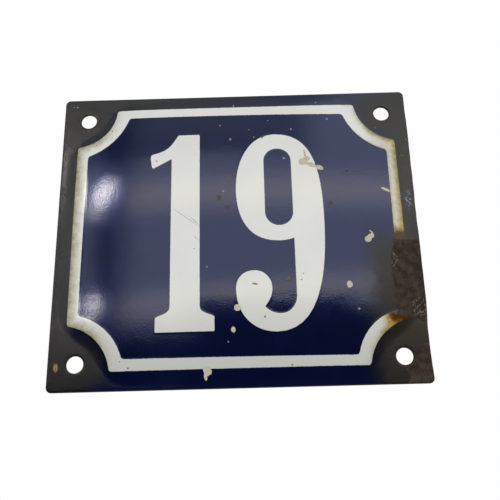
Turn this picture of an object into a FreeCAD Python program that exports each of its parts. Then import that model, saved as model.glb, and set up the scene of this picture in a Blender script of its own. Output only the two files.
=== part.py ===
import FreeCAD, Part
import math
import os

from FreeCAD import Vector

# An enamelled house number plate: one pressed steel sheet with a flat lip, four screw holes and
# a shallow domed panel whose corners are notched round the holes. The foot of its gentle slope is
# a wide bend with no fold line. White enamel stands proud of the blue as a border, which covers
# the panel's shoulder, and as the numerals on its crown.
# It is drawn lying on its back, face up, and is stood up at the end: front to -Y, up to +Z.
# The origin is the centre of the four holes, on the back of the lip, where the wall is.

# Sheet and outline
plate_width = 140.0
plate_height = 120.0
plate_corner_radius = 2.0
sheet = 1.2
edge_rounding = 0.45

# Screw holes
hole_inset = 10.0
hole_diameter = 6.3
hole_rounding = 0.3

# Pressed panel
lip_width = 3.4
shoulder_inset = 6.2
shoulder_rise = 0.7
crown_rise = 2.5
slope_degrees = 14.0
foot_radius = 8.0
panel_corner_radius = 7.0

# Notches of the panel round the holes, each an arc about a point near the plate's corner
notch_centre_inset = 4.7
notch_radius = 18.0

# White border on the shoulder
border_width = 4.2
border_notch_width = 4.6
border_corner_radius = 1.0

# The white was brushed through stencils that lay a little above the plate's middle
stencil_lift = 0.7

# White numerals on the crown, a pair centred between the border's sides
numeral_margin = 9.15
numeral_gap = 8.1
numeral_stroke = 11.2
numeral_heavy_stroke = 11.9
numeral_corner_radius = 0.5
counter_width = 10.8
ball_overhang = 0.6
one_lift = 0.35
nine_drop = 0.4

# How far the white enamel stands proud of the blue
enamel_relief = 0.2

# Room that cutting solids have outside the sheet, and that the flanks have above the dome
clearance = 20.0
flank_margin = 0.15

UP = Vector(0, 0, 1)
SLOPE = math.radians(slope_degrees)
HALF_X = plate_width / 2
HALF_Z = plate_height / 2

# The numerals are drawn 80 high, each about its own centre line, and scaled to their place
FLAG_TIP = (-13.9, 30.2)
FOOT_CORNER = (10.9, -40.0)
NUMERAL_HEIGHT = plate_height - 2 * (shoulder_inset + border_width + numeral_margin)
SCALE = NUMERAL_HEIGHT / (2 * abs(FOOT_CORNER[1]))
ONE_LEFT = abs(FLAG_TIP[0]) * SCALE
ONE_RIGHT = FOOT_CORNER[0] * SCALE
NINE_LEFT = counter_width / 2 + numeral_stroke + ball_overhang
NINE_RIGHT = counter_width / 2 + numeral_heavy_stroke
HALF_PAIR = (ONE_LEFT + ONE_RIGHT + numeral_gap + NINE_LEFT + NINE_RIGHT) / 2
ONE_PLACE = Vector(ONE_LEFT - HALF_PAIR, stencil_lift + one_lift, 0)
NINE_PLACE = Vector(HALF_PAIR - NINE_RIGHT, stencil_lift - nine_drop, 0)


def flat_wire(edges):
    return Part.Wire(Part.__sortEdges__(edges))


def prism(wire):
    """The upright solid over a flat outline, from the wall plane to well past the sheet."""
    return Part.Face(wire).extrude(UP * clearance)


def arc_about(centre, radius, start, end):
    """The shorter arc about a centre, between the directions of two points."""
    from_centre = start.sub(centre).normalize()
    to_centre = end.sub(centre).normalize()
    middle = from_centre.add(to_centre).normalize()
    return Part.Arc(
        centre.add(from_centre.multiply(radius)),
        centre.add(middle.multiply(radius)),
        centre.add(to_centre.multiply(radius)),
    ).toShape()


def notched_corner(half_x, half_z, radius, rounding, sign_x, sign_z):
    """One corner of a notched outline: the side's end, three arcs and the top's end."""
    notch = Vector(sign_x * (HALF_X - notch_centre_inset), sign_z * (HALF_Z - notch_centre_inset), 0)
    reach = radius + rounding

    side_x = half_x - rounding
    side_drop = math.sqrt(reach**2 - (abs(notch.x) - side_x) ** 2)
    side_centre = Vector(sign_x * side_x, sign_z * (abs(notch.y) - side_drop), 0)
    side_start = Vector(sign_x * half_x, side_centre.y, 0)

    top_z = half_z - rounding
    top_drop = math.sqrt(reach**2 - (abs(notch.y) - top_z) ** 2)
    top_centre = Vector(sign_x * (abs(notch.x) - top_drop), sign_z * top_z, 0)
    top_end = Vector(top_centre.x, sign_z * half_z, 0)

    edges = [
        arc_about(side_centre, rounding, side_start, notch),
        arc_about(notch, radius, side_centre, top_centre),
        arc_about(top_centre, rounding, notch, top_end),
    ]
    return side_start, edges, top_end


def notched_outline(inset, radius, rounding):
    """A rectangle set in from the plate's edge, with a concave arc bitten out of each corner."""
    half_x = HALF_X - inset
    half_z = HALF_Z - inset
    right_up = notched_corner(half_x, half_z, radius, rounding, 1, 1)
    left_up = notched_corner(half_x, half_z, radius, rounding, -1, 1)
    left_down = notched_corner(half_x, half_z, radius, rounding, -1, -1)
    right_down = notched_corner(half_x, half_z, radius, rounding, 1, -1)
    edges = []
    edges += right_up[1]
    edges.append(Part.LineSegment(right_up[2], left_up[2]).toShape())
    edges += reversed(left_up[1])
    edges.append(Part.LineSegment(left_up[0], left_down[0]).toShape())
    edges += left_down[1]
    edges.append(Part.LineSegment(left_down[2], right_down[2]).toShape())
    edges += reversed(right_down[1])
    edges.append(Part.LineSegment(right_down[0], right_up[0]).toShape())
    return flat_wire(edges)


def panel_outline(inset_from_foot):
    """The panel's outline, drawn in from its foot line, with every stretch parallel to it."""
    shoulder_run = shoulder_inset - lip_width
    return notched_outline(
        lip_width + inset_from_foot,
        notch_radius - shoulder_run + inset_from_foot,
        panel_corner_radius + shoulder_run - inset_from_foot,
    )


def crown_radius():
    """Radius of the dome that has the given rise at the middle and at the panel's sides."""
    reach = HALF_X - shoulder_inset
    sagitta = crown_rise - shoulder_rise
    return (reach**2 + sagitta**2) / (2 * sagitta)


def level_ground(level):
    """Everything under the lip's surface, far past the plate's outline."""
    half_x = HALF_X + clearance
    half_z = HALF_Z + clearance
    depth = level + clearance
    return Part.makeBox(2 * half_x, 2 * half_z, depth, Vector(-half_x, -half_z, -clearance))


def under_skin(offset):
    """Everything under a surface that runs parallel to the front of the sheet.

    The offset is 0 for the front itself, the enamel's relief for the top of the white, and
    minus the sheet's thickness for the back.
    """
    lip_level = sheet + offset
    spread = offset * math.tan(SLOPE / 2)
    radius = crown_radius()
    top_reach = HALF_Z - shoulder_inset
    rise_at_top = crown_rise - (radius - math.sqrt(radius**2 - top_reach**2))
    flank_rise = rise_at_top + flank_margin

    foot = panel_outline(-spread)
    foot.translate(UP * lip_level)
    rim = panel_outline(flank_rise / math.tan(SLOPE) - spread)
    rim.translate(UP * (lip_level + flank_rise))
    flank = Part.makeLoft([foot, rim], True, True)
    chimney = Part.Face(rim).extrude(UP * clearance)
    ball_centre = UP * (sheet + crown_rise - radius)
    ball = Part.makeSphere(radius + offset, ball_centre, UP, 0, 90, 360)
    dome = flank.fuse(chimney).removeSplitter().common(ball)

    ground = level_ground(lip_level).fuse(dome).removeSplitter()
    lip = [face for face in ground.Faces if len(face.Wires) > 1][0]
    foot_line = min(lip.Wires, key=lambda wire: wire.BoundBox.XLength)
    return ground.makeFillet(foot_radius - offset, foot_line.Edges)


def plate_blank():
    """The sheet's flat outline with its corners rounded and its four holes, as a tall prism."""
    box = Part.makeBox(plate_width, plate_height, clearance, Vector(-HALF_X, -HALF_Z, 0))
    corners = [edge for edge in box.Edges if edge.BoundBox.ZLength > clearance / 2]
    blank = box.makeFillet(plate_corner_radius, corners)
    for side in (-1, 1):
        for rise in (-1, 1):
            centre = Vector(side * (HALF_X - hole_inset), rise * (HALF_Z - hole_inset), 0)
            blank = blank.cut(Part.makeCylinder(hole_diameter / 2, clearance, centre))
    return blank


def drawn_outline(start, steps, place):
    """A closed outline of straight steps (one point) and curved steps (three points)."""
    here = start
    edges = []
    for step in steps:
        poles = [place + Vector(x, y, 0) * SCALE for x, y in (here,) + step]
        if len(step) == 1:
            edges.append(Part.LineSegment(poles[0], poles[1]).toShape())
        else:
            curve = Part.BezierCurve()
            curve.setPoles(poles)
            edges.append(curve.toShape())
        here = step[-1]
    return flat_wire(edges)


def is_sharp(solid, edge):
    """Whether the two walls beside an upright edge meet at a visible corner."""
    point = edge.Vertexes[0].Point
    normals = []
    for wall in solid.ancestorsOfType(edge, Part.Face):
        u, v = wall.Surface.parameter(point)
        normals.append(wall.normalAt(u, v))
    return normals[0].getAngle(normals[1]) > math.radians(10)


def rounded_prism(wire, radius):
    """A prism over an outline, with its sharp upright corners rounded."""
    solid = prism(wire)
    uprights = [edge for edge in solid.Edges if edge.BoundBox.ZLength > clearance / 2]
    return solid.makeFillet(radius, [edge for edge in uprights if is_sharp(solid, edge)])


def numeral_one():
    """The 1, drawn 80 high about the middle of its stem: a flag, a stem and a bracketed foot."""
    stem = numeral_stroke / 2 / SCALE
    flag_root = (-2.9, 40.0)
    steps = [
        ((-6.3, 34.6), (-6.9, 33.2), (-13.2, 31.7)),
        ((-13.8, 31.3), (-13.9, 30.8), FLAG_TIP),
        ((-13.3, 26.0),),
        ((-12.6, 25.6),),
        ((-stem, 29.5),),
        ((-stem, -30.4),),
        ((-stem, -33.0), (-8.4, -33.3), (-10.0, -34.1)),
        ((-10.9, -34.6),),
        ((-10.9, -40.0),),
        (FOOT_CORNER,),
        ((10.9, -34.6),),
        ((10.0, -34.1),),
        ((8.4, -33.3), (stem, -33.0), (stem, -30.4)),
        ((stem, 40.0),),
        (flag_root,),
    ]
    outline = drawn_outline(flag_root, steps, ONE_PLACE)
    return rounded_prism(outline, numeral_corner_radius)


def numeral_nine():
    """The 9, drawn 80 high about its counter: a closed bowl over a tail that ends in a ball."""
    inner = counter_width / 2 / SCALE
    left = -inner - numeral_stroke / SCALE
    right = inner + numeral_heavy_stroke / SCALE
    ball = left - ball_overhang / SCALE
    crest = (-0.5, 40.0)
    steps = [
        ((15.8, 40.0), (right, 20.3), (right, 4.2)),
        ((right, -14.5), (15.0, -40.0), (-2.2, -40.0)),
        ((-11.0, -40.0), (ball, -33.4), (ball, -23.8)),
        ((ball, -20.3), (-15.0, -16.8), (-10.0, -16.8)),
        ((-6.5, -16.8), (-3.6, -19.7), (-3.6, -23.6)),
        ((-3.6, -26.2), (-4.6, -28.6), (-6.5, -30.6)),
        ((-5.0, -32.4), (-2.8, -33.3), (-0.6, -33.3)),
        ((2.8, -33.3), (inner, -30.3), (inner, -26.6)),
        ((inner, -4.3),),
        ((3.6, -5.0), (1.6, -5.3), (-0.4, -5.3)),
        ((-12.2, -5.3), (left, 4.4), (left, 16.2)),
        ((left, 27.4), (-11.6, 40.0), crest),
    ]
    outline = drawn_outline(crest, steps, NINE_PLACE)
    return rounded_prism(outline, numeral_corner_radius).cut(counter(6.3 * SCALE, 28.5 * SCALE))


def counter(low, high):
    """The slot with round ends inside the 9's bowl, between two end centres."""
    radius = counter_width / 2
    corner = NINE_PLACE + Vector(-radius, low, 0)
    slot = Part.makeBox(counter_width, high - low, clearance, corner)
    for end in (low, high):
        slot = slot.fuse(Part.makeCylinder(radius, clearance, NINE_PLACE + Vector(0, end, 0)))
    return slot.removeSplitter()


def border_band():
    """The white frame between two notched outlines."""
    outer = notched_outline(shoulder_inset, notch_radius, border_corner_radius)
    inner = notched_outline(
        shoulder_inset + border_width, notch_radius + border_notch_width, border_corner_radius
    )
    band = prism(outer).cut(prism(inner))
    band.translate(Vector(0, stencil_lift, 0))
    return band


def soften_rims(plate):
    """Round the sheet's cut edge and the rims of its holes, front and back."""
    touch = 0.01
    cut_edges = []
    hole_rims = []
    for edge in plate.Edges:
        box = edge.BoundBox
        on_lip = abs(box.Center.z) < touch or abs(box.Center.z - sheet) < touch
        if box.ZLength > touch or not on_lip:
            continue
        reach_x = max(-box.XMin, box.XMax)
        reach_z = max(-box.YMin, box.YMax)
        if reach_x > HALF_X - touch or reach_z > HALF_Z - touch:
            cut_edges.append(edge)
        elif abs(box.XLength - hole_diameter) < touch:
            hole_rims.append(edge)
    return plate.makeFillet(edge_rounding, cut_edges).makeFillet(hole_rounding, hole_rims)


def sign_plate():
    """The whole plate, face up: pressed sheet and white relief, hollow behind."""
    relief = border_band().fuse([numeral_one(), numeral_nine()]).common(under_skin(enamel_relief))
    pressed = plate_blank().common(under_skin(0))
    plate = pressed.fuse(relief).cut(under_skin(-sheet)).removeSplitter()
    return soften_rims(plate)


def stand_up(shape):
    """Turn the face-up plate to face -Y, with its top edge up."""
    shape.rotate(Vector(0, 0, 0), Vector(1, 0, 0), 90)
    return shape


os.makedirs("parts", exist_ok=True)
plate = stand_up(sign_plate())
plate.exportStep("parts/sign_plate.step")
print("sign_plate:", "valid" if plate.isValid() else "not valid", len(plate.Solids), "solid", plate.Volume)
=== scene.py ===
import math

import bpy
import numpy as np
from mathutils import Matrix, Vector


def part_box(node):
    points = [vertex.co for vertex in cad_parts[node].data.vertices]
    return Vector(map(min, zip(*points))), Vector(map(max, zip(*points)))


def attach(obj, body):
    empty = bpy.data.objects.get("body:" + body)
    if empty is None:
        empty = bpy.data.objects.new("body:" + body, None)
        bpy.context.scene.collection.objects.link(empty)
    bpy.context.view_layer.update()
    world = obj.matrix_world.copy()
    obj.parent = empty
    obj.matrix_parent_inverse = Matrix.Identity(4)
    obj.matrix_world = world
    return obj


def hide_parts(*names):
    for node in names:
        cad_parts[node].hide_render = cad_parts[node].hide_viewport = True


# An enamelled house number plate, 140 by 120 mm, with the white numerals 1 and 9 in a white frame.
# Sizes are in millimetres until a mesh is finished. The plate stands up, front to -Y, in the
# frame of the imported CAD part, with the origin at the centre of its four screw holes.

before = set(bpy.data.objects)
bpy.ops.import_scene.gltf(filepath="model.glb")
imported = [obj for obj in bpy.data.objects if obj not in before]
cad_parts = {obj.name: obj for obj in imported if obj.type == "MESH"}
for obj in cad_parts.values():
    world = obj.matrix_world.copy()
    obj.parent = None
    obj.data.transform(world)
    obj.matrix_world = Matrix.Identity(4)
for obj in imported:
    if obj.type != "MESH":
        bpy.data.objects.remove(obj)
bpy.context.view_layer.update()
plate_low, plate_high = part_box("sign_plate")

MM = 0.001
HALF_X = (plate_high[0] - plate_low[0]) / 2 / MM
HALF_Z = (plate_high[2] - plate_low[2]) / 2 / MM

# Pressed sheet
SHEET = 1.2
CORNER_RADIUS = 2.0
EDGE_ROUNDING = 0.45
HOLE_INSET = 10.0
HOLE_RADIUS = 3.15
HOLE_ROUNDING = 0.3
LIP_WIDTH = 3.4
SHOULDER_INSET = 6.2
SHOULDER_RISE = 0.7
CROWN_RISE = 2.5
SLOPE = math.radians(14.0)
FOOT_RADIUS = 12.0
SHOULDER_RADIUS = 20.0
PANEL_CORNER_RADIUS = 7.0
NOTCH_CENTRE_INSET = 4.7
NOTCH_RADIUS = 18.0

# White enamel
RELIEF = 0.03
SOFT_EDGE = 0.5
BORDER_CORNER = 1.0
# The border's outlines: low and high corner, slant in degrees, and each arc's centre and radius
BORDER_OUTER = (
    (-63.7, -52.95), (64.2, 54.35), 0.0,
    [(-65.1, 54.8, 16.85), (67.0, 55.9, 18.35), (-66.5, -54.8, 19.2), (66.6, -55.0, 19.1)],
)
BORDER_INNER = (
    (-59.55, -48.85), (60.35, 50.2), -0.35,
    [(-67.7, 57.9, 25.65), (67.8, 57.2, 25.05), (-65.2, -54.3, 23.0), (63.5, -52.7, 20.3)],
)
DRAWN_HEIGHT = 80
NUMERAL_HEIGHT = 80.9
NUMERAL_STROKE = 11.2
HEAVY_STROKE = 11.9
COUNTER_WIDTH = 10.8
COUNTER_ENDS = (6.3, 28.5)
ONE_PLACE = (-19.9, 1.1)
NINE_PLACE = (16.45, 0.35)

# Wear of the right edge: depth, length and start of each wave, then the depths eaten away
EDGE_WAVES = [(0.07, 9.0, 0.6), (0.05, 3.7, 0.0), (0.03, 1.3, 0.0)]
EATEN_BELOW = 0.35
EATEN_ABOVE = 0.08
LEAST_WEAR = 0.04
WEAR_REACH = 6

# Mesh. The grid's rings round a hole: the hole's own, the last round one and the first square one
GRID_PITCH = 0.47
HOLE_RINGS = (5, 9, 16)
ROUNDING_TURNS = np.radians([90, 67.5, 45, 22.5])
CURVE_STEPS = 14
BACK_EDGE_KEPT = 1.2
BACK_HOLE_KEPT = 4.2
BACK_FACES_KEPT = 0.12
BACK_DEPTH = 0.1
WALL_FACING = 0.2

# Camera in millimetres and degrees, solved from the plate's corners and holes
CAMERA_PLACE = (6.07, -248.44, -93.46)
CAMERA_AIM = (4.81, -1.2, -7.76)
CAMERA_ROLL = -1.46
CAMERA_LENS = 49.2

HOLE_X = HALF_X - HOLE_INSET
HOLE_Z = HALF_Z - HOLE_INSET
CROWN_REACH = HALF_X - SHOULDER_INSET
CROWN_SAGITTA = CROWN_RISE - SHOULDER_RISE
CROWN_RADIUS = (CROWN_REACH**2 + CROWN_SAGITTA**2) / (2 * CROWN_SAGITTA)


def clear_selection():
    """Leave edit mode and select nothing."""
    if bpy.context.object and bpy.context.object.mode == "EDIT":
        bpy.ops.object.mode_set(mode="OBJECT")
    bpy.ops.object.select_all(action="DESELECT")


def make_active(thing):
    """Select one object alone and make it the active one."""
    clear_selection()
    thing.select_set(True)
    bpy.context.view_layer.objects.active = thing


def select_vertices(mesh, chosen):
    """Select some of a mesh's vertices and nothing else of it."""
    mesh.polygons.foreach_set("select", np.zeros(len(mesh.polygons), bool))
    mesh.edges.foreach_set("select", np.zeros(len(mesh.edges), bool))
    mesh.vertices.foreach_set("select", chosen)


def smooth_step(value, low, high):
    """0 up to low and 1 from high on, eased between them."""
    share = np.clip((value - low) / (high - low), 0, 1)
    return share * share * (3 - 2 * share)


def smooth_min(a, b, width):
    """The lower of two heights, blended where they are closer than the width."""
    share = np.clip(0.5 + 0.5 * (b - a) / width, 0, 1)
    return b * (1 - share) + a * share - width * share * (1 - share)


def rounded_corner(a, b, radius):
    """Distance inside two edges that meet at a corner of the given radius."""
    bend = radius - np.hypot(np.maximum(radius - a, 0), np.maximum(radius - b, 0))
    nearest = np.minimum(a, b)
    return np.where(nearest > radius, nearest, bend)


def disc_from_square(p, q):
    """The place in a unit disc of each point of a unit square, ring by ring."""
    return p * np.sqrt(1 - q * q / 2), q * np.sqrt(1 - p * p / 2)


def fillet_blend(radius):
    """Width of a smooth blend that rounds the slope's corner as a fillet of this radius does."""
    half_turn = math.cos(SLOPE / 2)
    return 4 * radius * (1 - half_turn) / half_turn**2


def plate_inset(x, z):
    """Distance inside the plate's cut edge."""
    return rounded_corner(HALF_X - np.abs(x), HALF_Z - np.abs(z), CORNER_RADIUS)


def hole_distance(x, z):
    """Distance from the nearest hole's centre."""
    return np.hypot(np.abs(x) - HOLE_X, np.abs(z) - HOLE_Z)


def panel_inset(x, z):
    """Distance inside the foot line of the pressed panel, which is notched round the holes."""
    side = np.minimum(HALF_X - LIP_WIDTH - np.abs(x), HALF_Z - LIP_WIDTH - np.abs(z))
    run = SHOULDER_INSET - LIP_WIDTH
    notch_x = np.abs(x) - HALF_X + NOTCH_CENTRE_INSET
    notch_z = np.abs(z) - HALF_Z + NOTCH_CENTRE_INSET
    from_notch = np.hypot(notch_x, notch_z) - (NOTCH_RADIUS - run)
    return rounded_corner(side, from_notch, PANEL_CORNER_RADIUS + run)


def skin_height(x, z, offset):
    """Height over the wall of a surface parallel to the pressed sheet's front."""
    lip = SHEET + offset
    inset = panel_inset(x, z) + offset * math.tan(SLOPE / 2)
    flank = lip + inset * math.tan(SLOPE)
    ball = CROWN_RADIUS + offset
    crown = SHEET + CROWN_RISE - CROWN_RADIUS + np.sqrt(ball**2 - x**2 - z**2)
    panel = smooth_min(flank, crown, fillet_blend(SHOULDER_RADIUS + offset))
    return -smooth_min(-panel, -lip, fillet_blend(FOOT_RADIUS - offset))


def rim_drop(inset, radius):
    """How far a rounded edge falls away at a distance inside the edge."""
    reach = np.clip(radius - inset, 0, radius)
    return radius - np.sqrt(radius**2 - reach**2)


def stencil_frame(x, z, low, high, turn, corners):
    """Distance inside one outline of the stencilled border, cut by hand and a little off square."""
    slant = math.radians(turn)
    across = x * math.cos(slant) + z * math.sin(slant)
    up = z * math.cos(slant) - x * math.sin(slant)
    inset = np.minimum(
        np.minimum(across - low[0], high[0] - across), np.minimum(up - low[1], high[1] - up)
    )
    for centre_x, centre_z, radius in corners:
        from_notch = np.hypot(x - centre_x, z - centre_z) - radius
        inset = rounded_corner(inset, from_notch, BORDER_CORNER)
    return inset


def border_inset(x, z):
    """Distance inside the white border and inside its outer line, negative outside them."""
    outer = stencil_frame(x, z, *BORDER_OUTER)
    inner = stencil_frame(x, z, *BORDER_INNER)
    return np.minimum(outer, -inner), outer


def traced(start, steps, scale, place):
    """Points along an outline of straight steps (one point) and curved steps (three points)."""
    share = np.linspace(0, 1, CURVE_STEPS + 1)[:-1, None]
    here = np.array(start)
    points = []
    for step in steps:
        ends = [here] + [np.array(point) for point in step]
        if len(step) == 1:
            points.append(ends[0][None])
        else:
            a, b, c, d = ends
            points.append(
                a * (1 - share) ** 3 + 3 * b * share * (1 - share) ** 2
                + 3 * c * share**2 * (1 - share) + d * share**3
            )
        here = ends[-1]
    return np.concatenate(points) * scale + np.array(place)


def outline_inset(x, z, outline):
    """Distance inside a closed outline of points, negative outside it."""
    nearest = np.full(x.shape, np.inf)
    inside = np.zeros(x.shape, bool)
    for a, b in zip(outline, np.roll(outline, -1, axis=0)):
        edge = b - a
        from_x = x - a[0]
        from_z = z - a[1]
        share = np.clip((from_x * edge[0] + from_z * edge[1]) / edge.dot(edge), 0, 1)
        distance = np.hypot(from_x - share * edge[0], from_z - share * edge[1])
        nearest = np.minimum(nearest, distance)
        if a[1] != b[1]:
            crossing = (a[1] > z) != (b[1] > z)
            inside ^= crossing & (x < a[0] + from_z / edge[1] * edge[0])
    return np.where(inside, nearest, -nearest)


def one_outline():
    """The 1, drawn about the middle of its stem: a flag, a stem and a bracketed foot."""
    scale = NUMERAL_HEIGHT / DRAWN_HEIGHT
    stem = NUMERAL_STROKE / 2 / scale
    flag_root = (-2.9, 40.0)
    steps = [
        ((-6.3, 34.6), (-6.9, 33.2), (-13.2, 31.7)),
        ((-13.8, 31.3), (-13.9, 30.8), (-13.9, 30.2)),
        ((-13.3, 26.0),),
        ((-12.6, 25.6),),
        ((-stem, 29.5),),
        ((-stem, -30.4),),
        ((-stem, -33.0), (-8.4, -33.3), (-10.0, -34.1)),
        ((-10.9, -34.6),),
        ((-10.9, -40.0),),
        ((10.9, -40.0),),
        ((10.9, -34.6),),
        ((10.0, -34.1),),
        ((8.4, -33.3), (stem, -33.0), (stem, -30.4)),
        ((stem, 40.0),),
        (flag_root,),
    ]
    return traced(flag_root, steps, scale, ONE_PLACE)


def nine_outline():
    """The 9, drawn about its counter: a closed bowl over a tail that ends in a ball."""
    scale = NUMERAL_HEIGHT / DRAWN_HEIGHT
    inner = COUNTER_WIDTH / 2 / scale
    left = -inner - NUMERAL_STROKE / scale
    right = inner + HEAVY_STROKE / scale
    ball = left - 0.6
    crest = (-0.5, 40.0)
    steps = [
        ((15.8, 40.0), (right, 20.3), (right, 4.2)),
        ((right, -14.5), (15.0, -40.0), (-2.2, -40.0)),
        ((-11.0, -40.0), (ball, -33.4), (ball, -23.8)),
        ((ball, -20.3), (-15.0, -16.8), (-10.0, -16.8)),
        ((-6.5, -16.8), (-3.6, -19.7), (-3.6, -23.6)),
        ((-3.6, -26.2), (-4.6, -28.6), (-6.5, -30.6)),
        ((-5.0, -32.4), (-2.8, -33.3), (-0.6, -33.3)),
        ((2.8, -33.3), (inner, -30.3), (inner, -26.6)),
        ((inner, -4.3),),
        ((3.6, -5.0), (1.6, -5.3), (-0.4, -5.3)),
        ((-12.2, -5.3), (left, 4.4), (left, 16.2)),
        ((left, 27.4), (-11.6, 40.0), crest),
    ]
    return traced(crest, steps, scale, NINE_PLACE)


def numeral_inset(x, z):
    """Distance inside the nearer numeral, negative outside both."""
    counter_x, middle_z = NINE_PLACE
    reach = np.clip(z - middle_z, *COUNTER_ENDS)
    counter = np.hypot(x - counter_x, z - middle_z - reach) - COUNTER_WIDTH / 2
    nine = np.minimum(outline_inset(x, z, nine_outline()), counter)
    return np.maximum(outline_inset(x, z, one_outline()), nine)


def stations(half, hole, pitch):
    """Grid lines across the plate: close together on the rounded edge, and one through each hole."""
    inner = half - EDGE_ROUNDING
    rim = inner + EDGE_ROUNDING * np.sin(ROUNDING_TURNS)
    outside = np.linspace(hole, inner, round((inner - hole) / pitch) + 1)
    between = np.linspace(-hole, hole, round(2 * hole / pitch) + 1)
    return np.concatenate([-rim, -outside[:0:-1], between, outside[1:], rim[::-1]])


def places_round_holes(column, row, lines_x, lines_z):
    """Each hole's centre, and how many lines across and up from it every grid point lies."""
    for side in (-1, 1):
        for rise in (-1, 1):
            across = column - int(np.argmin(np.abs(lines_x - side * HOLE_X)))
            up = row - int(np.argmin(np.abs(lines_z - rise * HOLE_Z)))
            yield side * HOLE_X, rise * HOLE_Z, across, up


def bend_round_holes(x, z, column, row, lines_x, lines_z):
    """Move the grid's square rings round each hole's centre onto circles."""
    first, round_until, last = HOLE_RINGS
    pitch = lines_x[len(lines_x) // 2 + 1] - lines_x[len(lines_x) // 2]
    radii = list(HOLE_RADIUS + HOLE_ROUNDING * (1 - np.sin(np.append(ROUNDING_TURNS, 0))))
    radii += list(np.linspace(radii[-1], last * pitch, last - round_until + 1)[1:])
    for hole_x, hole_z, across, up in places_round_holes(column, row, lines_x, lines_z):
        ring = np.maximum(np.abs(across), np.abs(up))
        near = (ring >= first) & (ring <= last)
        p, q = disc_from_square(across[near] / ring[near], up[near] / ring[near])
        radius = np.array(radii)[ring[near] - first]
        square = smooth_step(ring[near], round_until, last)
        x[near] = x[near] * square + (hole_x + p * radius) * (1 - square)
        z[near] = z[near] * square + (hole_z + q * radius) * (1 - square)
    return x, z


def bend_round_corners(x, z):
    """Move the grid's lines near each corner of the plate onto the corner's arc."""
    p = np.clip((np.abs(x) - HALF_X) / CORNER_RADIUS + 1, 0, None)
    q = np.clip((np.abs(z) - HALF_Z) / CORNER_RADIUS + 1, 0, None)
    corner = (p > 0) & (q > 0)
    round_p, round_q = disc_from_square(p[corner], q[corner])
    x[corner] = np.sign(x[corner]) * (HALF_X - CORNER_RADIUS + round_p * CORNER_RADIUS)
    z[corner] = np.sign(z[corner]) * (HALF_Z - CORNER_RADIUS + round_q * CORNER_RADIUS)
    return x, z


def worn_edge(x, z):
    """How far rust and hammering have drawn in the plate's right edge."""
    wave = sum(depth * np.sin(z / length + start) for depth, length, start in EDGE_WAVES)
    below = EATEN_BELOW * smooth_step(-z, 28, 41) * smooth_step(z, -59, -50)
    above = EATEN_ABOVE * smooth_step(z, 26, 52)
    depth = np.maximum(LEAST_WEAR + wave + below + above, 0)
    return depth * smooth_step(x, HALF_X - WEAR_REACH, HALF_X)


def pressed_plate():
    """The plate: a flat grid pierced and extruded into a sheet, then pressed to shape."""
    lines_x = stations(HALF_X, HOLE_X, GRID_PITCH)
    lines_z = stations(HALF_Z, HOLE_Z, GRID_PITCH)
    columns = len(lines_x) - 1
    rows = len(lines_z) - 1

    clear_selection()
    bpy.ops.mesh.primitive_grid_add(
        x_subdivisions=columns, y_subdivisions=rows, size=1, rotation=(math.pi / 2, 0, 0)
    )
    plate = bpy.context.object
    plate.name = "house_number_plate"
    bpy.ops.object.transform_apply(location=True, rotation=True, scale=True)
    mesh = plate.data

    flat = np.empty(len(mesh.vertices) * 3)
    mesh.vertices.foreach_get("co", flat)
    flat = flat.reshape(-1, 3)
    column = np.rint((flat[:, 0] + 0.5) * columns).astype(int)
    row = np.rint((flat[:, 2] + 0.5) * rows).astype(int)
    x = lines_x[column]
    z = lines_z[row]

    pierced = np.zeros(len(x), bool)
    for _, _, across, up in places_round_holes(column, row, lines_x, lines_z):
        pierced |= np.maximum(np.abs(across), np.abs(up)) < HOLE_RINGS[0]

    x, z = bend_round_holes(x, z, column, row, lines_x, lines_z)
    x, z = bend_round_corners(x, z)
    flat[:, 0] = x * MM
    flat[:, 1] = 0
    flat[:, 2] = z * MM
    mesh.vertices.foreach_set("co", flat.ravel())
    mesh.update()

    bpy.ops.object.mode_set(mode="EDIT")
    bpy.ops.mesh.select_mode(type="VERT")
    bpy.ops.object.mode_set(mode="OBJECT")
    select_vertices(mesh, pierced)
    bpy.ops.object.mode_set(mode="EDIT")
    bpy.ops.mesh.delete(type="VERT")
    bpy.ops.mesh.select_all(action="SELECT")
    bpy.ops.mesh.extrude_region_move(TRANSFORM_OT_translate={"value": (0, -SHEET * MM, 0)})
    bpy.ops.mesh.select_all(action="SELECT")
    bpy.ops.mesh.normals_make_consistent(inside=False)
    bpy.ops.object.mode_set(mode="OBJECT")

    press(plate)
    thin_back(plate)
    mark_white(plate)
    make_active(plate)
    bpy.ops.object.shade_smooth()
    return plate


def vertex_places(mesh):
    """The place of each of a mesh's vertices, in millimetres."""
    places = np.empty(len(mesh.vertices) * 3)
    mesh.vertices.foreach_get("co", places)
    return places.reshape(-1, 3) / MM


def press(plate):
    """Give the flat sheet its pressed form, rounded edges and raised white enamel."""
    mesh = plate.data
    places = vertex_places(mesh)
    x = places[:, 0].copy()
    z = places[:, 2].copy()
    front = places[:, 1] < -SHEET / 2

    edge = plate_inset(x, z)
    hole = hole_distance(x, z) - HOLE_RADIUS
    drop = rim_drop(edge, EDGE_ROUNDING) + rim_drop(np.maximum(hole, 0), HOLE_ROUNDING)
    height = np.where(front, skin_height(x, z, 0) - drop, skin_height(x, z, -SHEET) + drop)

    border, _ = border_inset(x, z)
    white = np.maximum(border, numeral_inset(x, z))
    coat = RELIEF * smooth_step(white, -SOFT_EDGE, SOFT_EDGE)
    height = np.where(front, height + coat, height)

    places[:, 0] = x - worn_edge(x, z)
    places[:, 1] = -height
    mesh.vertices.foreach_set("co", (places * MM).ravel())
    mesh.update()


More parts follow.
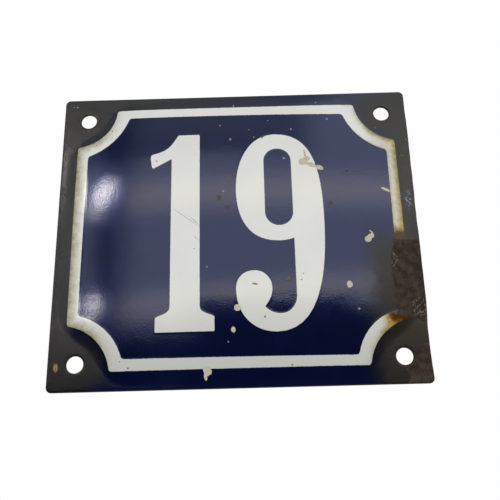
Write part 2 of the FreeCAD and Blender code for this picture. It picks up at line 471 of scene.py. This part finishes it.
def thin_back(plate):
    """Reduce the number of faces on the plain back, which has no relief."""
    mesh = plate.data
    x, y, z = vertex_places(mesh).T
    inner = (plate_inset(x, z) > BACK_EDGE_KEPT) & (hole_distance(x, z) > BACK_HOLE_KEPT)
    back = -y < skin_height(x, z, -SHEET) + BACK_DEPTH
    make_active(plate)
    select_vertices(mesh, inner & back)
    bpy.ops.object.mode_set(mode="EDIT")
    bpy.ops.mesh.select_mode(type="VERT")
    bpy.ops.mesh.decimate(ratio=BACK_FACES_KEPT)
    bpy.ops.object.mode_set(mode="OBJECT")


def mark_white(plate):
    """Store how far each point lies inside the white enamel, and inside the border's outer line."""
    mesh = plate.data
    x, _, z = vertex_places(mesh).T
    border, outer = border_inset(x, z)
    insets = {"border_inset": border, "band_outer": outer, "numeral_inset": numeral_inset(x, z)}
    for name, value in insets.items():
        layer = mesh.attributes.new(name, "FLOAT", "POINT")
        layer.data.foreach_set("value", value.astype(np.float32))


def colour(red, green, blue):
    """A colour as it looks on a screen, 0 to 255, as the shaders read it."""
    shares = [value / 255 for value in (red, green, blue)]
    light = [s / 12.92 if s <= 0.04045 else ((s + 0.055) / 1.055) ** 2.4 for s in shares]
    return (*light, 1.0)


class Value:
    """A number that varies over a surface. Its operators add Math nodes to its finish."""

    def __init__(self, finish, socket):
        self.finish = finish
        self.socket = socket

    def __add__(self, other):
        return self.finish.math("ADD", self, other)

    def __sub__(self, other):
        return self.finish.math("SUBTRACT", self, other)

    def __rsub__(self, other):
        return self.finish.math("SUBTRACT", other, self)

    def __mul__(self, other):
        return self.finish.math("MULTIPLY", self, other)

    def __abs__(self):
        return self.finish.math("ABSOLUTE", self)

    def __or__(self, other):
        return self.finish.math("MAXIMUM", self, other)

    def __and__(self, other):
        return self.finish.math("MINIMUM", self, other)

    __radd__ = __add__
    __rmul__ = __mul__

    def step(self, low, high):
        """0 up to low and 1 from high on, eased between them; low may be the larger."""
        inputs = {0: self, 1: low, 2: high}
        return self.finish.value("ShaderNodeMapRange", inputs, interpolation_type="SMOOTHSTEP")


class Finish:
    """A material under construction, with the place across and up in millimetres."""

    def __init__(self, name):
        self.material = bpy.data.materials.new(name)
        self.material.use_nodes = True
        self.tree = self.material.node_tree
        self.tree.nodes.clear()
        self.output = self.node("ShaderNodeOutputMaterial")
        inputs = {0: self.node("ShaderNodeTexCoord").outputs["Object"], 1: (1 / MM, 0, 1 / MM)}
        self.place = self.node("ShaderNodeVectorMath", inputs, operation="MULTIPLY").outputs[0]
        parts = self.node("ShaderNodeSeparateXYZ", {0: self.place})
        self.x = Value(self, parts.outputs[0])
        self.z = Value(self, parts.outputs[2])

    def node(self, kind, inputs=(), **settings):
        """A node with its settings, then the values or links of its sockets."""
        made = self.tree.nodes.new(kind)
        for name, setting in settings.items():
            setattr(made, name, setting)
        for name, content in dict(inputs).items():
            if isinstance(content, Value):
                content = content.socket
            if isinstance(content, bpy.types.NodeSocket):
                self.tree.links.new(content, made.inputs[name])
            else:
                made.inputs[name].default_value = content
        return made

    def value(self, kind, inputs=(), **settings):
        return Value(self, self.node(kind, inputs, **settings).outputs[0])

    def math(self, operation, *terms):
        return self.value("ShaderNodeMath", dict(enumerate(terms)), operation=operation)

    def attribute(self, name):
        return Value(self, self.node("ShaderNodeAttribute", attribute_name=name).outputs["Fac"])

    def noise(self, size, detail=2.0, roughness=0.5):
        """Cloudy noise about 0, from about -0.5 to 0.5, with patches of this size."""
        inputs = {"Vector": self.place, "Scale": 1 / size, "Detail": detail, "Roughness": roughness}
        return self.value("ShaderNodeTexNoise", inputs) - 0.5

    def spot(self, x, z, half_x, half_z, turn=0.0):
        """Distance from a place, 1 on an ellipse of these half sizes turned anticlockwise."""
        inputs = {
            "Vector": self.place,
            "Location": (x, 0, z),
            "Rotation": (0, math.radians(-turn), 0),
            "Scale": (half_x, 1, half_z),
        }
        local = self.node("ShaderNodeMapping", inputs, vector_type="TEXTURE").outputs[0]
        length = self.node("ShaderNodeVectorMath", {0: local}, operation="LENGTH")
        return Value(self, length.outputs["Value"])

    def mix(self, factor, below, above):
        """Lay one colour over another."""
        return self.node("ShaderNodeMix", {0: factor, 6: below, 7: above}, data_type="RGBA").outputs[2]

    def lay(self, factor, below, above):
        """Lay one shader over another."""
        return self.node("ShaderNodeMixShader", {0: factor, 1: below, 2: above}).outputs[0]

    def bump(self, height):
        """The normal of a surface with these heights in millimetres."""
        inputs = {"Height": height, "Distance": MM, "Strength": 1.0}
        return self.node("ShaderNodeBump", inputs).outputs[0]

    def gloss(self, base, roughness, normal, **inputs):
        """A surface of one colour; other sockets are given by name, with _ for a space."""
        sockets = {"Base Color": base, "Roughness": roughness, "Normal": normal}
        sockets.update({name.replace("_", " "): content for name, content in inputs.items()})
        return self.node("ShaderNodeBsdfPrincipled", sockets).outputs[0]

    def finish(self, surface):
        """The material, with this shader as its surface."""
        self.tree.links.new(surface, self.output.inputs["Surface"])
        return self.material


# Marks on the enamel: place, half sizes and turn
CHIPS = [
    (58.7, 15.6, 2.0, 0.6, -27),
    (41.7, -22.8, 1.1, 1.35, 0),
    (-0.4, -30.8, 1.25, 1.3, 0),
    (-2.0, -39.0, 0.85, 1.15, 0),
    (-11.7, -53.7, 1.5, 1.7, 20),
    (-12.3, -55.6, 0.6, 1.4, 10),
    (26.9, 28.3, 1.9, 1.5, 20),
    (30.0, 26.8, 1.9, 1.0, -20),
    (33.1, 25.5, 1.7, 1.0, -20),
    (27.6, 31.7, 0.45, 2.2, 5),
    (28.4, 29.6, 1.2, 1.0, 0),
    (50.2, -4.9, 1.5, 1.25, 25),
    (51.0, -4.0, 1.2, 1.0, 60),
    (51.9, -3.1, 0.45, 1.3, 15),
    (51.3, -1.9, 0.8, 0.25, -35),
]
DARK_PATCHES = [
    (-6.7, 13.4, 0.9, 1.4, 10), (-3.5, 9.2, 0.8, 0.8, 0), (36.6, 10.2, 0.75, 1.1, 0),
    (43.9, 23.8, 0.6, 0.6, 0), (-50.3, -9.0, 0.4, 1.1, -30),
]
STAINS = [
    (19.1, -19.9, 0.8, 0.8, 0), (11.1, 39.8, 0.4, 0.9, -40), (-59.9, 45.6, 0.6, 0.5, 0),
    (69.0, 37.7, 0.35, 0.5, 0), (66.6, 30.7, 0.35, 0.4, 0), (57.0, 43.6, 0.4, 0.4, 0),
    (-68.3, 35.0, 0.5, 0.9, 30), (-67.9, 32.5, 0.5, 1.2, 15), (-68.8, 30.8, 0.4, 0.9, 0),
    (6.4, -21.9, 1.1, 0.4, -15),
]
SCRATCHES = [
    (-20.0, 5.8, 5.8, 0.13, -37.6), (-16.3, 4.0, 2.9, 0.13, -45.7), (-15.7, -3.1, 1.2, 0.12, -50),
]
RUST_RIDGES = [(67.3, -31.8, 3.0, 4.2), (59.4, -13.5, 1.5, 3.4)]
TAN_FLAKE = (-66.8, -51.0, 0.85, 1.6)
SCUFF = (67.3, 11.5, 2.4, 6.8)
BACK_RUST = (66, -22, 8, 17)

# Round marks: place and radius
SPECKS = [
    (-6.1, 45.5, 0.35), (-2.0, 39.0, 0.5), (19.2, 29.9, 0.5), (13.4, 47.3, 0.25),
    (22.6, 43.1, 0.4), (5.6, 43.3, 0.25), (7.5, 39.7, 0.3), (-5.1, 16.1, 0.45),
    (-11.6, -14.8, 0.35), (37.5, 47.6, 0.45), (44.6, -32.2, 0.45), (-3.9, -43.4, 0.3),
    (-65.0, 56.7, 0.35), (-66.4, 56.8, 0.25), (-0.5, 55.3, 0.4), (33.4, 55.8, 0.35),
]
PITS = [
    (-50.0, 44.9, 0.28), (-56.1, 38.8, 0.25), (-50.1, 41.4, 0.18), (-40.4, -51.9, 0.3),
    (-43.5, -49.5, 0.2), (-31.5, 30.2, 0.30), (-16.4, -7.5, 0.22), (9.7, -34.5, 0.35),
    (23.8, -20.7, 0.25), (24.7, -18.3, 0.22), (19.0, -52.2, 0.30), (58.1, -34.2, 0.60),
]

# Where rust has taken the enamel: a patch at the right edge, bulging left, and one at the lower right
RUST_LEFT = 59.7
RUST_TOP = -5.3
RUST_BOTTOM = -34.8
RUST_BULGE = 1.8
LOW_RUST_LEFT = 60.3
LOW_RUST_TOP = -45.5


def nearest_spot(finish, spots):
    """Distance to the nearest of several spots, 1 on its outline."""
    nearest = None
    for spot in spots:
        distance = finish.spot(*spot)
        nearest = distance if nearest is None else nearest & distance
    return nearest


def nearest_dot(finish, dots):
    """Distance to the nearest of several round marks, 1 on its outline."""
    return nearest_spot(finish, [(x, z, radius, radius) for x, z, radius in dots])


def edge_and_hole(finish):
    """Distance inside the plate's sides, and distance from the nearest hole's centre."""
    edge = (HALF_X - abs(finish.x)) & (HALF_Z - abs(finish.z))
    hole_x = abs(finish.x) - HOLE_X
    hole_z = abs(finish.z) - HOLE_Z
    return edge, finish.math("SQRT", hole_x * hole_x + hole_z * hole_z)


class FrontFinish(Finish):
    """The front's enamel under construction, with the values that its coats and marks share."""

    def __init__(self):
        super().__init__("vitreous_enamel")
        self.border = self.attribute("border_inset")
        self.outer = self.attribute("band_outer")
        self.numerals = self.attribute("numeral_inset")
        self.edge, self.from_hole = edge_and_hole(self)
        self.from_middle = abs(self.x)
        self.right = self.x.step(20, 60)
        self.grain = self.noise(0.7)
        self.patch = self.noise(3.5, detail=3)
        self.cloud = self.noise(16, detail=3)
        self.streak = self.noise(2.2, 4, 0.7)


def white_coat(f):
    """Where the enamel is white, and its colour with painted shade below and the soil settled on the
    border.
    """
    border_white = (f.border + f.grain * 0.4).step(-0.12, 0.12)
    numeral_white = (f.numerals + f.grain * 0.22).step(-0.1, 0.1)

    side = f.from_middle.step(42, 58)
    reach = f.outer * (1 + 0.55 * f.right) + f.patch * 3 + f.grain * 1.5
    outer_soil = reach.step(4.4, -0.9) * side * (0.95 + 0.25 * f.right)
    inner_soil = f.border.step(1.3, 0.0) * 0.35 * f.right * side * f.z.step(-20, 0)
    soil = (outer_soil | inner_soil | (0.05 * f.right * side)) * (1 + 1.5 * f.streak)
    soil_colour = f.mix(f.right, colour(138, 129, 84), colour(146, 130, 62))
    film = f.x.step(50, 60) * border_white * (0.55 + 1.2 * f.streak)

    white_colour = f.mix(f.cloud * 2 + 0.5, colour(219, 220, 214), colour(226, 227, 223))
    # Painted shade: the white darkens towards the bottom, as light falling from above leaves it.
    white_colour = f.mix(f.z.step(-15, -62), white_colour, colour(192, 193, 187))
    white_colour = f.mix(film, white_colour, colour(178, 171, 136))
    white_colour = f.mix(soil * border_white, white_colour, soil_colour)
    return border_white | numeral_white, white_colour


def lip_coat(f):
    """Where the enamel is thin and blackish, along the lip and round the holes, and its colour with
    painted light and shade.
    """
    outside = f.outer.step(0.4, -0.4)
    sides = f.from_middle.step(57, 64)
    corners = (f.from_hole + f.patch * 6).step(18.5, 5)
    top = f.z.step(50, 56) * (0.3 + 0.7 * (f.x + f.patch * 30).step(30, -50))
    right_inside = (f.x + f.patch * 9).step(44, 56) * (f.z + f.patch * 12).step(8, -15)
    thin = ((sides | corners | top) * outside * (0.93 + 0.6 * f.patch)) | right_inside

    near_hole = f.from_hole.step(9.5, 4) * (0.55 + f.streak) * f.z.step(-70, 10)
    olive = f.mix(f.cloud.step(-0.2, 0.2), colour(27, 29, 30), colour(35, 37, 40))
    # Painted light and shade: the thin enamel is lighter towards the top and darker towards the
    # bottom.
    olive = f.mix(f.z.step(35, 55), olive, colour(42, 44, 42))
    olive = f.mix(f.z.step(-15, -45), olive, colour(12, 13, 13))
    olive = f.mix(f.right, olive, colour(28, 29, 21))
    olive = f.mix(near_hole, olive, colour(32, 30, 15))
    olive = f.mix(right_inside, olive, colour(30, 28, 21))
    return thin, olive


def rusted_steel(f):
    """Where the steel lies bare and rusted, its colour, and how far rust has seeped from it."""
    bulge = RUST_BULGE * f.z.step(-5, -14) * f.z.step(-38, -26)
    upper = (f.x - RUST_LEFT + bulge) & (RUST_TOP - f.z) & (f.z - RUST_BOTTOM + (f.x - 60) * 0.3)
    lower = (f.x - LOW_RUST_LEFT) & (LOW_RUST_TOP - f.z) & (f.x - 66 + (-46.5 - f.z) * 1.1)
    ragged = f.patch * 3.2 + f.grain * 1.6
    rust = ((upper | lower) + ragged).step(-0.35, 0.35)
    seep = (upper + f.patch * 5 + f.streak * 4).step(-9.0, -0.8)

    blotch = (f.patch * 0.8 + f.streak).step(-0.2, 0.25)
    ridges = abs(f.noise(2.4, 2, 0.5)).step(0.022, 0.006)
    ridges = nearest_spot(f, RUST_RIDGES).step(1.1, 0.7) * ridges
    rust_colour = f.mix(blotch, colour(43, 36, 31), colour(72, 60, 50))
    rust_colour = f.mix(f.noise(0.6, 3, 0.7).step(0.12, 0.26), rust_colour, colour(120, 106, 90))
    rust_colour = f.mix(ridges * 0.55, rust_colour, colour(158, 148, 132))
    return rust, rust_colour, seep


def front_finish():
    """Navy and white vitreous enamel, thin and blackish at the lip, chipped, stained and rusted."""
    f = FrontFinish()
    navy = f.mix(f.cloud.step(-0.25, 0.25), colour(7, 12, 41), colour(9, 16, 49))
    white, white_colour = white_coat(f)
    thin, thin_colour = lip_coat(f)
    rust, rust_colour, seep = rusted_steel(f)
    seep_colour = f.mix(seep.step(0.35, 0.95), colour(184, 148, 70), colour(72, 40, 4))
    white_colour = f.mix(seep.step(0.0, 0.8), white_colour, seep_colour)

    # Marks in the enamel
    pits = (nearest_dot(f, PITS) + f.grain * 0.6).step(1.2, 0.8)
    dull = (nearest_spot(f, DARK_PATCHES) + f.grain * 0.8).step(1.3, 0.7)
    stained = (nearest_spot(f, STAINS) + f.grain * 0.9).step(1.2, 0.8)
    scratched = (nearest_spot(f, SCRATCHES) + f.grain * 1.2).step(1.3, 0.8)
    plain = (white | thin) | (dull | stained)
    plain_colour = f.mix(white, thin_colour, white_colour)
    for share, shade in (
        (pits, colour(84, 72, 50)),
        (dull, colour(24, 26, 22)),
        (stained * 0.85, colour(96, 66, 32)),
        (scratched * 0.6, colour(120, 110, 88)),
    ):
        plain_colour = f.mix(share, plain_colour, shade)

    # Marks that bare what lies under the enamel, and the cut edges' dark band, which is also painted
    # shade
    chipped = (nearest_spot(f, CHIPS) + f.grain * 0.7 + f.patch * 0.3).step(1.06, 0.94)
    chip_grain = f.noise(0.45, 3, 0.8).step(-0.05, 0.18)
    specks = nearest_dot(f, SPECKS).step(1.1, 0.7)
    flaked = f.spot(*TAN_FLAKE).step(1.1, 0.9)
    flake_grain = f.noise(0.7, 3).step(0.02, 0.1)
    scuffed = f.spot(*SCUFF).step(1.15, 0.2) * f.noise(1.1, 4, 0.8).step(-0.04, 0.1)
    # Bare steel and painted shade: a dark band on the rounded edge of the plate and of each hole.
    hole_edge = f.from_hole.step(HOLE_RADIUS + 0.45, HOLE_RADIUS + 0.1)
    cut_edge = f.edge.step(0.5, 0.12) | hole_edge
    bare = (rust | chipped) | (specks | cut_edge) | (flaked | scuffed)
    bare_colour = rust_colour
    for share, shade in (
        (chipped, f.mix(chip_grain, colour(208, 201, 180), colour(128, 119, 92))),
        (specks, colour(150, 147, 136)),
        (flaked, f.mix(flake_grain, colour(146, 126, 92), colour(84, 70, 44))),
        (scuffed, colour(142, 146, 164)),
        (cut_edge, colour(40, 35, 30)),
    ):
        bare_colour = f.mix(share, bare_colour, shade)

    peel = f.bump(f.noise(0.7, 2, 0.5) * 0.0125 + f.noise(5, 1) * 0.014)
    crust = f.bump(f.noise(0.9, 4, 0.75) * 0.35 * (rust | chipped))
    blue_enamel = f.gloss(
        navy, 0.12, peel, IOR=1.6, Specular_Tint=(0.2, 0.32, 1.0, 1.0),
        Coat_Weight=1.0, Coat_Roughness=0.03, Coat_IOR=1.5, Coat_Normal=peel,
    )
    plain_enamel = f.gloss(plain_colour, (thin - white).step(0, 1) * 0.17 + 0.07, peel, IOR=1.5)
    bare_steel = f.gloss(bare_colour, 0.85, crust, IOR=1.4, Specular_IOR_Level=0.2)
    return f.finish(f.lay(bare, f.lay(plain, blue_enamel, plain_enamel), bare_steel))


def back_finish():
    """Plain black ground coat, as on the hidden side of such plates."""
    f = Finish("ground_coat")
    edge, from_hole = edge_and_hole(f)
    ragged = f.noise(4, 4, 0.65) * 4 + f.noise(1.1, 3) * 1.2
    hole_rust = (from_hole - 4.6 + ragged).step(0.4, -0.4)
    edge_rust = (edge - 1.0 + ragged).step(0.3, -0.3)
    side_rust = (f.spot(*BACK_RUST) + ragged * 0.12).step(1.0, 0.9)
    rust = (hole_rust | edge_rust) | side_rust
    blotch = f.noise(1.2, 4, 0.7).step(-0.1, 0.25)
    coat_colour = f.mix(f.noise(12, 3).step(-0.2, 0.2), colour(20, 20, 24), colour(30, 31, 36))
    rust_colour = f.mix(blotch, colour(54, 42, 37), colour(98, 72, 54))
    peel = f.bump(f.noise(1.6, 2) * 0.06)
    crust = f.bump(f.noise(0.9, 4, 0.75) * 0.3)
    coat = f.gloss(coat_colour, 0.3, peel, IOR=1.5)
    bare = f.gloss(rust_colour, 0.85, crust, IOR=1.4, Specular_IOR_Level=0.2)
    return f.finish(f.lay(rust, coat, bare))


def dress(plate):
    """Give the faces of the hidden side the ground coat and all others the front's enamel."""
    mesh = plate.data
    mesh.materials.clear()
    mesh.materials.append(front_finish())
    mesh.materials.append(back_finish())
    normals = np.empty(len(mesh.polygons) * 3)
    mesh.polygons.foreach_get("normal", normals)
    faces_wall = normals.reshape(-1, 3)[:, 1] > WALL_FACING
    mesh.polygons.foreach_set("material_index", faces_wall.astype(np.int32))
    mesh.update()


plate = pressed_plate()
dress(plate)
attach(plate, "root")
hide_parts("sign_plate")


def photo_camera():
    """The camera stands below the plate's middle and looks up at it, turned a little clockwise."""
    bpy.ops.object.camera_add()
    camera = bpy.context.object
    place = Vector(CAMERA_PLACE) * MM
    aim = Vector(CAMERA_AIM) * MM
    level = (aim - place).to_track_quat("-Z", "Y").to_matrix()
    roll = Matrix.Rotation(math.radians(CAMERA_ROLL), 3, "Z")
    camera.matrix_world = Matrix.Translation(place) @ (level @ roll).to_4x4()
    camera.data.sensor_width = 36
    camera.data.lens = CAMERA_LENS
    camera.data.clip_start = 0.01
    camera.data.clip_end = 20
    bpy.context.scene.camera = camera


def studio_world():
    """Even white light from all sides, which is the white background too."""
    world = bpy.data.worlds.new("studio")
    bpy.context.scene.world = world
    world.use_nodes = True
    light = world.node_tree.nodes["Background"]
    light.inputs["Color"].default_value = (1, 1, 1, 1)
    light.inputs["Strength"].default_value = 1.0


# Lights mirrored in the enamel, as soft ellipses in millimetres on the mirrored board: place, half
# sizes and turn, then where the glow ends and where it is full, and its strength
LAMPS = [
    ((-389, 520, 26, 44, -30), 1.35, 0.3, 17),
    ((-403, 476, 32, 46, -20), 1.3, 0.2, 5),
    ((-398, 188, 19, 27, -10), 1.4, 0.2, 11),
    ((-398, 200, 26, 36, 0), 1.2, 0.3, 2),
]
BANDS = [
    ((0, 498, 3000, 58, 0.5), 1.5, 0.0, 0.95),
    ((0, 205, 3000, 42, 4.5), 1.4, 0.0, 0.85),
]


def glow(finish, lights):
    """The strength of several soft lights together."""
    return sum(finish.spot(*place).step(end, full) * strength for place, end, full, strength in lights)


def surroundings():
    """The room that the enamel mirrors: lit above the middle, darker at the top, left and below."""
    clear_selection()
    bpy.ops.mesh.primitive_plane_add(
        size=4.0, location=(0, -1.0, 0.3), rotation=(math.pi / 2, 0, 0)
    )
    board = bpy.context.object
    board.name = "mirrored_room"
    bpy.ops.object.transform_apply(location=True, rotation=True, scale=True)

    f = Finish("mirrored_room")
    soft = f.noise(90, 2)
    across = f.x + soft * 30
    up = f.z + soft * 22
    ceiling = up.step(652, 608) | (0.3 + 0.15 * up.step(640, 720)) | across.step(60, 250)
    left_wall = 0.14 + 0.86 * (across.step(-385, -262) | (across.step(-376, -430) * 0.75))
    floor_middle = up.step(183, 199)
    floor_left = up.step(80, 155) * across.step(-110, -160)
    floor_right = up.step(150, 190) * across.step(225, 300)
    floor = floor_middle | floor_left | floor_right
    open_room = ceiling * left_wall * floor
    room = (1.0 + 0.04 * f.x.step(0, 400)) * open_room * 1.02

    def light(shade, strength):
        return f.node("ShaderNodeEmission", {"Color": (*shade, 1), "Strength": strength}).outputs[0]

    def together(a, b):
        return f.node("ShaderNodeAddShader", {0: a, 1: b}).outputs[0]

    cool = light((1.0, 1.0, 0.97), room)
    warm = light((1.3, 1.0, 0.62), open_room * glow(f, BANDS))
    lamps = light((1.12, 1.0, 0.86), glow(f, LAMPS))
    board.data.materials.append(f.finish(together(together(cool, warm), lamps)))
    board.visible_camera = False
    board.visible_diffuse = False
    board.visible_shadow = False
    board.visible_transmission = False
    board.visible_volume_scatter = False


def studio_floor():
    """A plain pale floor below the plate."""
    clear_selection()
    bpy.ops.mesh.primitive_plane_add(size=14, location=(0, 0, -0.3))
    floor = bpy.context.object
    floor.name = "studio_floor"
    f = Finish("pale_floor")
    paint = f.gloss((0.86, 0.86, 0.86, 1), 0.8, (0, 0, 0), Specular_IOR_Level=0.1)
    floor.data.materials.append(f.finish(paint))
    floor.visible_glossy = False


photo_camera()
studio_world()
surroundings()
studio_floor()

bpy.context.scene.view_settings.view_transform = "Standard"
